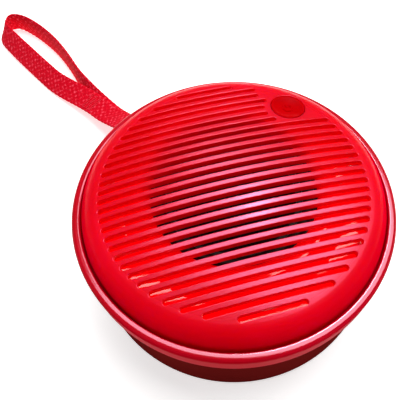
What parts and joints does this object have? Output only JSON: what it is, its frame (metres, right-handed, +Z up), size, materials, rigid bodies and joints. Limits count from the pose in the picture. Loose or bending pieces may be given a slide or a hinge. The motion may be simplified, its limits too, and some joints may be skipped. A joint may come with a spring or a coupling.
{
  "type": "portable wireless speaker",
  "caption": "Palm-size round wireless speaker: slotted domed grille in a raised trim ring, dished power button, dark body, woven wrist-strap loop.",
  "frame": {"origin": "middle of the foot ring's lower face, where the speaker stands", "axes": "+Z up along the driver's axis; +X along the grille slots; +Y away from the user, towards the strap's side"},
  "size_m": [0.1128, 0.1736, 0.0404],
  "materials": {
    "red_gloss": "satin-gloss moulded red plastic with a fine texture",
    "red_gloss_inner": "high gloss moulded red plastic",
    "maroon_shell": "soft-touch dark maroon plastic",
    "foam": "black closed-cell foam",
    "rubber_black": "moulded rubber",
    "screw_steel": "nickel-plated steel",
    "board_green": "green solder mask on glass-fibre board",
    "black_plastic": "black moulded plastic",
    "black_steel": "black-painted pressed steel",
    "zinc_steel": "zinc-plated steel",
    "ferrite": "grey ferrite",
    "copper": "enamelled copper winding",
    "cone_black": "coated black paper pulp",
    "spider_cloth": "resin-dipped woven cloth",
    "battery_wrap": "blue shrink film over a foil pouch",
    "shield_can": "tinned shielding can",
    "white_plastic": "natural nylon sockets",
    "clear_light": "clear acrylic light pipe",
    "wire_red": "insulated stranded wire",
    "strap_red": "woven polyester webbing, matte with lighter flecks"
  },
  "bodies": {
    "enclosure": {"grille_dome": "red_gloss", "top_ring": "red_gloss", "inner_baffle": "red_gloss_inner", "lower_housing": "maroon_shell", "housing_seal": "foam", "foot_ring": "rubber_black", "baffle_screws": "screw_steel", "button_board": "board_green", "power_switch": "black_plastic", "driver_frame": "black_steel", "driver_terminal": "black_plastic", "driver_gasket": "foam", "driver_yoke": "zinc_steel", "driver_magnet": "ferrite", "top_plate": "zinc_steel", "surround": "rubber_black", "spider": "spider_cloth", "battery_pad": "foam", "battery_cell": "battery_wrap", "main_board": "board_green", "board_screws": "screw_steel", "board_chips": "black_plastic", "bluetooth_module": "shield_can", "board_sockets": "white_plastic", "usb_port": "zinc_steel", "indicator_light": "clear_light", "speaker_wires": "wire_red", "battery_wires": "wire_red", "button_wires": "wire_red", "strap_clamp": "black_plastic", "strap_clamp_screw": "screw_steel", "strap_loop": "strap_red", "strap_seam": "strap_red"},
    "cone_assembly": {"cone": "cone_black", "dust_cap": "cone_black", "voice_coil": "copper"},
    "power_key": {"power_button": "red_gloss", "switch_plunger": "black_plastic"}
  },
  "joints": [
    {"name": "cone_travel", "type": "slide", "parent": "enclosure", "child": "cone_assembly", "axis": [0, 0, 1], "range_m": [-0.0012, 0.0012], "stiffness_N_per_m": 1500, "deforming": ["surround", "spider"]},
    {"name": "button_press", "type": "slide", "parent": "enclosure", "child": "power_key", "axis": [0, 0, -1], "range_m": [0, 0.0004], "stiffness_N_per_m": 1500}
  ]
}
